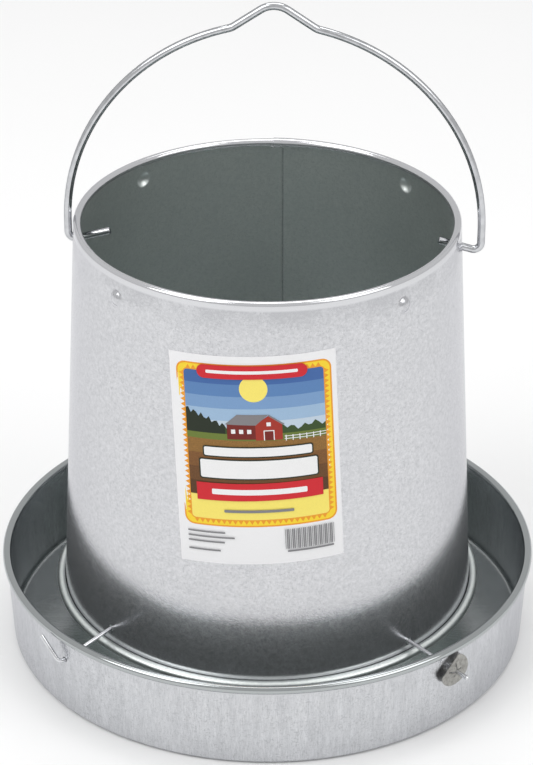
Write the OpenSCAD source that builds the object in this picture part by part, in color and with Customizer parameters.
// Hanging gravity feeder for poultry: a flared sheet-metal tube stands above a
// round pan on two crossed wires, and a wire bail swings over the tube's mouth.
// The origin is the centre of the pan's underside. The bail hinges about X,
// the label faces -Y and the tube's seam is at +Y.

/* [Metal] */
// Thickness of the galvanised sheet
sheet = 0.5; // [0.4:0.05:0.7]
// Diameter of the bail's wire
bail_wire_d = 4.2; // [3.6:0.1:4.4]
// Diameter of the two cross wires
cross_wire_d = 2.4; // [2:0.1:2.5]

/* [Pan] */
// Diameter over the pan's rolled rim
pan_rim_d = 304.8; // [300:0.2:312]
// Height of the pan over its rim
pan_h = 52.7; // [51:0.1:56]
// Diameter of the pan's rolled rim in section
pan_bead_d = 4.66; // [4.2:0.02:5]
// Lean of the pan's wall outwards, in degrees
pan_flare = 3.1; // [2:0.1:4]
// Outside radius of the corner between wall and floor
pan_corner_r = 3.5; // [3:0.5:7]

/* [Tube] */
// Height of the tube's lower edge above the pan's underside
feed_gap = 29.2; // [27:0.1:30]
// Height of the tube
tube_h = 228.7; // [222:0.1:240]
// Diameter over the tube's mouth
tube_top_d = 210.8; // [210:0.2:214]
// Diameter of the tube's wall at its foot
tube_foot_d = 233.9; // [230:0.1:236]
// Diameter of the inward curl at the mouth, in section
mouth_curl_d = 4.4; // [4:0.1:5]
// Diameter of the outward bead at the foot, in section
foot_bead_d = 5.2; // [4.6:0.1:5.6]
// Width of the lock seam
seam_w = 6.5; // [5:0.5:8]
// Height of the lock seam over the wall
seam_t = 0.9; // [0.6:0.1:1.2]
// Diameter of each pressed dimple
dimple_d = 9; // [8:0.5:10]
// Height of each pressed dimple
dimple_h = 2; // [1.5:0.1:2.4]
// Drop of the dimples below the mouth
dimple_drop = 14.4; // [13:0.1:17]

/* [Bail] */
// Drop of the bail's hinge line below the mouth
pivot_drop = 15.9; // [15:0.1:18]
// Diameter of the tube's holes for the bail
bail_hole_d = 5.6; // [5.5:0.1:6.2]
// Distance from the bail's middle to each leg
leg_x = 112.5; // [112.4:0.1:114]
// Shift of the bail to the right, within its play
bail_shift = 3.6; // [2:0.1:3.6]
// Radius of the arch on each side
arch_r = 116.3; // [114:0.1:118]
// Rise from the hinge line to where the arch begins
leg_rise = 10.8; // [8:0.1:14]
// Distance from the bail's middle to where its hook begins
hook_half_w = 24.8; // [22:0.1:28]
// Slope of the hook's flanks, in degrees
hook_slope = 34; // [30:1:38]
// Radius of the bend at the foot of each flank
hook_foot_r = 10; // [6:1:14]
// Radius of the bend at the hook's top
hook_top_r = 13; // [10:1:16]
// Radius of the bend between leg and pin
pin_bend_r = 4; // [3.6:0.1:4.4]
// Rise of the pins inwards, in degrees
pin_tilt = 15; // [5:1:18]
// Distance from the bail's middle to each pin's tip
pin_tip_x = 89.5; // [86:0.5:96]

/* [Cross wires] */
// Height of the upper wire inside the tube
upper_wire_z = 42; // [42:0.1:43]
// Height of the lower wire inside the tube
lower_wire_z = 39.2; // [38.9:0.1:39.3]
// Height of the upper wire's holes in the pan
upper_foot_z = 36; // [35.6:0.1:37]
// Height of the lower wire's holes in the pan
lower_foot_z = 38; // [37.4:0.1:38.2]
// Diameter of the holes for the wires
wire_hole_d = 3.4; // [3.2:0.1:4]
// Length of wire beyond a push nut's side of the pan
stub_len = 13; // [10:0.1:14]
// Radius of the bend that starts a wire's hooked end
wire_hook_r = 3.4; // [3.2:0.1:5]
// Straight length of a wire's hooked end
wire_hook_len = 14; // [10:0.5:14]
// Rise of a wire's hooked end, in degrees
wire_hook_rise = 47; // [30:1:47]

/* [Push nuts] */
// Diameter of a push nut
nut_d = 19.5; // [17:0.5:20]
// Thickness of a push nut's sheet
nut_sheet = 0.6; // [0.5:0.05:0.7]
// Distance from a push nut's middle to its straight edge
nut_flat_x = 5.7; // [5.5:0.1:7]
// Width of the slits between a push nut's teeth
nut_slit_w = 0.8; // [0.6:0.1:1]
// Length of each slit from the nut's middle
nut_slit_len = 4.6; // [4:0.1:5]

/* [Label] */
// Width of the label
label_w = 89; // [80:1:94]
// Height of the label
label_h = 122; // [100:1:130]
// Height of the label's middle above the pan's underside
label_z = 167; // [160:1:170]
// Tilt of the label, in degrees
label_tilt = 3; // [0:0.5:4]
// Thickness of the label
label_t = 0.2; // [0.15:0.05:0.3]

/* [Hidden] */
$fn = 96;

mouth_z = feed_gap + tube_h;
curl_z = mouth_z - mouth_curl_d / 2;
foot_z = feed_gap + foot_bead_d / 2;
tube_slope = (tube_foot_d - tube_top_d) / 2 / (curl_z - foot_z);
tube_lean = atan(tube_slope);
tube_seam_line_x = 3.2;
tube_seam_line_w = 0.5;

pivot_z = mouth_z - pivot_drop;
dimple_z = mouth_z - dimple_drop;
dimple_r = (dimple_d * dimple_d / 4 + dimple_h * dimple_h) / 2 / dimple_h;

pan_bead_r = pan_bead_d / 2;
pan_wall_lap = 0.8 * sheet;
pan_bead_x = pan_rim_d / 2 - pan_bead_r;
pan_bead_z = pan_h - pan_bead_r;
pan_wall_top_z = pan_bead_z - pan_bead_r + pan_wall_lap;
pan_base_r = pan_bead_x - pan_wall_top_z * tan(pan_flare) + sheet / 2;

arch_z = pivot_z + leg_rise;
arch_x = leg_x - arch_r;
arch_run_out = 0.6;
arch_end = acos((hook_half_w - arch_x) / arch_r);
arch_tip = [arch_x, arch_z] + arch_r * [cos(arch_end), sin(arch_end)];
foot_start = arch_tip + arch_run_out * [-sin(arch_end), cos(arch_end)];
foot_centre = foot_start + hook_foot_r * [cos(arch_end), sin(arch_end)];
flank_start = foot_centre - hook_foot_r * [sin(hook_slope), cos(hook_slope)];
flank_end_x = hook_top_r * sin(hook_slope);
flank_end = [flank_end_x, flank_start[1] + (flank_start[0] - flank_end_x) * tan(hook_slope)];

upper_wire_angle = 225;
lower_wire_angle = 135;
wire_bend_r = 10;
wire_lap = 0.1;
wire_ease = 0.02;
hook_gap = 0.3;
nut_gap = 2.4;
nut_hole_r = cross_wire_d / 2 + 0.1;
nut_flat_turn = 41;

// Outside radius of the tube's wall at a height
function tube_r(z) = tube_top_d / 2 + (curl_z - z) * tube_slope;
// Outside radius of the pan's wall at a height
function pan_wall_x(z) = pan_base_r + z * tan(pan_flare);
// Radius at which a cross wire passes the middle of the pan's wall
function pan_wire_x(foot_z) = pan_wall_x(foot_z) - sheet / 2;
// Slope of a cross wire between the tube and the pan
function wire_slope(z, foot_z) = atan((z - foot_z) / (pan_wire_x(foot_z) - tube_r(z)));
// Depth of the bail's wire below its bend's centre, at a distance from the bail's middle
function bend_depth(x) =
    let (centre_x = leg_x - pin_bend_r, end_x = centre_x - pin_bend_r * sin(pin_tilt))
    x > end_x ? sqrt(pin_bend_r * pin_bend_r - pow(x - centre_x, 2))
        : pin_bend_r * cos(pin_tilt) - (end_x - x) * tan(pin_tilt);

// A rolled edge in section: a ring of sheet with a gap between two angles
module rolled_edge(r, gap_from, gap_to) {
    reach = 2 * r;
    difference() {
        circle(r);
        circle(r - sheet);
        polygon([[0, 0], [reach * cos(gap_from), reach * sin(gap_from)],
            [reach * cos(gap_to), reach * sin(gap_to)]]);
    }
}

// Half section of the solid inside the pan's skin, drawn a distance in from the outside
module pan_section(inset, top_z) {
    corner_x = pan_wall_x(pan_corner_r) - pan_corner_r / cos(pan_flare);
    r = pan_corner_r - inset;
    polygon([[0, inset], [corner_x, inset],
        [corner_x + r * cos(pan_flare), pan_corner_r - r * sin(pan_flare)],
        [pan_wall_x(top_z) - inset / cos(pan_flare), top_z], [0, top_z]]);
    translate([corner_x, pan_corner_r]) circle(r);
}

// A wire bend in the XZ plane: an arc of a torus about a centre, between two angles
module bend(centre, bend_r, wire_d, from, to) {
    translate([centre[0], 0, centre[1]]) rotate([90, 0, 0]) rotate([0, 0, from])
        rotate_extrude(angle = to - from) translate([bend_r, 0]) circle(d = wire_d);
}

// A straight wire in the XZ plane between two points, run a little way into the bends it joins
module straight(a, b, wire_d) {
    run = b[0] - a[0];
    rise = b[1] - a[1];
    translate([a[0], 0, a[1]]) rotate([0, atan2(run, rise), 0]) translate([0, 0, -wire_lap])
        cylinder(h = norm([run, rise]) + 2 * wire_lap, d = wire_d - wire_ease);
}

module feed_tube() color("gainsboro") {
    difference() {
        union() {
            translate([0, 0, foot_z]) cylinder(h = curl_z - foot_z, r1 = tube_r(foot_z), r2 = tube_r(curl_z));
            tube_seam();
            dimples(dimple_r);
        }
        translate([0, 0, foot_z - 1]) cylinder(h = curl_z - foot_z + 2,
            r1 = tube_r(foot_z - 1) - sheet, r2 = tube_r(curl_z + 1) - sheet);
        dimples(dimple_r - sheet);
        tube_seam_line();
        translate([0, 0, pivot_z]) rotate([0, 90, 0]) cylinder(h = 2 * tube_foot_d, d = bail_hole_d, center = true);
        wire_holes(upper_wire_z, upper_wire_angle);
        wire_holes(lower_wire_z, lower_wire_angle);
    }
    rotate_extrude() translate([tube_r(curl_z) - mouth_curl_d / 2, curl_z])
        rolled_edge(mouth_curl_d / 2, -50, -2);
    rotate_extrude() translate([tube_r(foot_z) - sheet + foot_bead_d / 2, foot_z])
        rolled_edge(foot_bead_d / 2, 135, 178);
}

// The fold of the lock seam, standing out from the wall at the back
module tube_seam() {
    root = 0.3;
    bottom_z = foot_z + foot_bead_d / 2 + 0.6;
    top_z = curl_z - 1;
    translate([0, tube_r(bottom_z) - root, bottom_z]) rotate([tube_lean, 0, 0])
        translate([-seam_w / 2, 0, 0]) cube([seam_w, seam_t + root, (top_z - bottom_z) / cos(tube_lean)]);
}

// The line that the seam leaves inside the tube
module tube_seam_line() {
    depth = 0.3;
    bottom_z = foot_z + 6;
    top_z = curl_z - 6;
    translate([tube_seam_line_x, tube_r(bottom_z) - sheet + depth, bottom_z]) rotate([tube_lean, 0, 0])
        translate([-tube_seam_line_w / 2, -1, 0]) cube([tube_seam_line_w, 1, top_z - bottom_z]);
}

// Four balls that press the dimples out of the wall
module dimples(r) {
    for (angle = [45:90:315])
        rotate([0, 0, angle]) translate([tube_r(dimple_z) + dimple_h - dimple_r, 0, dimple_z]) sphere(r);
}

// A drill right across the feeder for one cross wire
module wire_holes(z, angle) {
    translate([0, 0, z]) rotate([0, 90, angle]) cylinder(h = 2 * pan_rim_d, d = wire_hole_d, center = true);
}

module feed_pan() color("silver") {
    difference() {
        rotate_extrude() difference() {
            pan_section(0, pan_wall_top_z);
            pan_section(sheet, pan_h);
        }
        wire_holes(upper_foot_z, upper_wire_angle);
        wire_holes(lower_foot_z, lower_wire_angle);
    }
    rotate_extrude() translate([pan_bead_x, pan_bead_z]) rolled_edge(pan_bead_r, -80, -50);
}

module bail_handle() color("lightgray") translate([bail_shift, 0, 0]) {
    wall_x = tube_r(pivot_z) - sheet / 2;
    top_centre_z = flank_end[1] - hook_top_r * cos(hook_slope);
    bend([0, top_centre_z], hook_top_r, bail_wire_d, 90 - hook_slope, 90 + hook_slope);
    bail_side(wall_x - bail_shift);
    mirror([1, 0, 0]) bail_side(wall_x + bail_shift);
}

// One side of the bail: the pin, the leg, the arch and the hook's flank
module bail_side(wall_x) {
    pin_end_x = leg_x - pin_bend_r * (1 + sin(pin_tilt));
    bend_z = pivot_z + bend_depth(wall_x);
    pin_end_z = bend_z - pin_bend_r * cos(pin_tilt);
    straight([pin_tip_x, pin_end_z + (pin_end_x - pin_tip_x) * tan(pin_tilt)], [pin_end_x, pin_end_z], bail_wire_d);
    bend([leg_x - pin_bend_r, bend_z], pin_bend_r, bail_wire_d, -90 - pin_tilt, 0);
    straight([leg_x, bend_z], [leg_x, arch_z], bail_wire_d);
    bend([arch_x, arch_z], arch_r, bail_wire_d, 0, arch_end);
    straight(arch_tip, foot_start, bail_wire_d);
    bend(foot_centre, hook_foot_r, bail_wire_d, 180 + arch_end, 270 - hook_slope);
    straight(flank_start, flank_end, bail_wire_d);
}

// A cross wire along X: a push nut goes on its -X end, and its +X end is hooked
module cross_wire(z, foot_z, hook_side) {
    wall_x = tube_r(z);
    slope = wire_slope(z, foot_z);
    reach = wire_bend_r * tan(slope / 2);
    fall = [cos(slope), -sin(slope)];
    corner = [wall_x, z];
    slope_start = corner + reach * fall;
    stub_end = corner + (pan_wire_x(foot_z) + stub_len - wall_x) / cos(slope) * fall;
    hook_start = corner + (pan_wall_x(foot_z) + hook_gap - wall_x) / cos(slope) * fall;
    straight([-(wall_x - reach), z], [wall_x - reach, z], cross_wire_d);
    for (side = [0, 1]) mirror([side, 0, 0]) {
        bend([wall_x - reach, z - wire_bend_r], wire_bend_r, cross_wire_d, 90 - slope, 90);
        straight(slope_start, side == 0 ? hook_start : stub_end, cross_wire_d);
    }
    translate([hook_start[0], 0, hook_start[1]]) rotate([0, slope, 0])
        mirror([0, hook_side < 0 ? 1 : 0, 0]) rotate([wire_hook_rise, 0, 0]) wire_hook();
}

// The hooked end of a cross wire, turning from +X to +Y
module wire_hook() {
    translate([0, wire_hook_r, 0]) rotate([0, 0, -90])
        rotate_extrude(angle = 90) translate([wire_hook_r, 0]) circle(d = cross_wire_d);
    translate([wire_hook_r, wire_hook_r - wire_lap, 0]) rotate([-90, 0, 0])
        cylinder(h = wire_hook_len + wire_lap, d = cross_wire_d - wire_ease);
    translate([wire_hook_r, wire_hook_r + wire_hook_len, 0]) sphere(d = cross_wire_d);
}

module cross_wire_upper() color("whitesmoke") rotate([0, 0, upper_wire_angle]) cross_wire(upper_wire_z, upper_foot_z, -1);
module cross_wire_lower() color("whitesmoke") rotate([0, 0, lower_wire_angle]) cross_wire(lower_wire_z, lower_foot_z, 1);

// A push nut on the -X end of a wire: a slit disc with one straight edge
module push_nut(z, foot_z) {
    slope = wire_slope(z, foot_z);
    nut_x = pan_wall_x(foot_z) + nut_gap;
    drop = (nut_x - pan_wire_x(foot_z)) * tan(slope);
    translate([-nut_x, 0, foot_z - drop]) rotate([0, -90 - slope, 0]) rotate([0, 0, nut_flat_turn])
        linear_extrude(nut_sheet) difference() {
            circle(d = nut_d);
            translate([nut_flat_x, -nut_d / 2]) square(nut_d);
            circle(nut_hole_r);
            for (angle = [45, 135]) rotate(angle) square([2 * nut_slit_len, nut_slit_w], center = true);
        }
}

module push_nut_front() color("darkgray") rotate([0, 0, lower_wire_angle]) push_nut(lower_wire_z, lower_foot_z);
module push_nut_back() color("darkgray") rotate([0, 0, upper_wire_angle]) push_nut(upper_wire_z, upper_foot_z);

module label() color("white") intersection() {
    glue = 0.05;
    low_z = label_z - label_h;
    high_z = label_z + label_h;
    difference() {
        translate([0, 0, low_z]) cylinder(h = high_z - low_z,
            r1 = tube_r(low_z) + glue + label_t, r2 = tube_r(high_z) + glue + label_t);
        translate([0, 0, low_z - 1]) cylinder(h = high_z - low_z + 2,
            r1 = tube_r(low_z - 1) + glue, r2 = tube_r(high_z + 1) + glue);
    }
    translate([0, -tube_foot_d / 2, label_z]) rotate([0, -label_tilt, 0])
        cube([label_w, tube_foot_d, label_h], center = true);
}

feed_tube();
feed_pan();
bail_handle();
cross_wire_upper();
cross_wire_lower();
push_nut_front();
push_nut_back();
label();
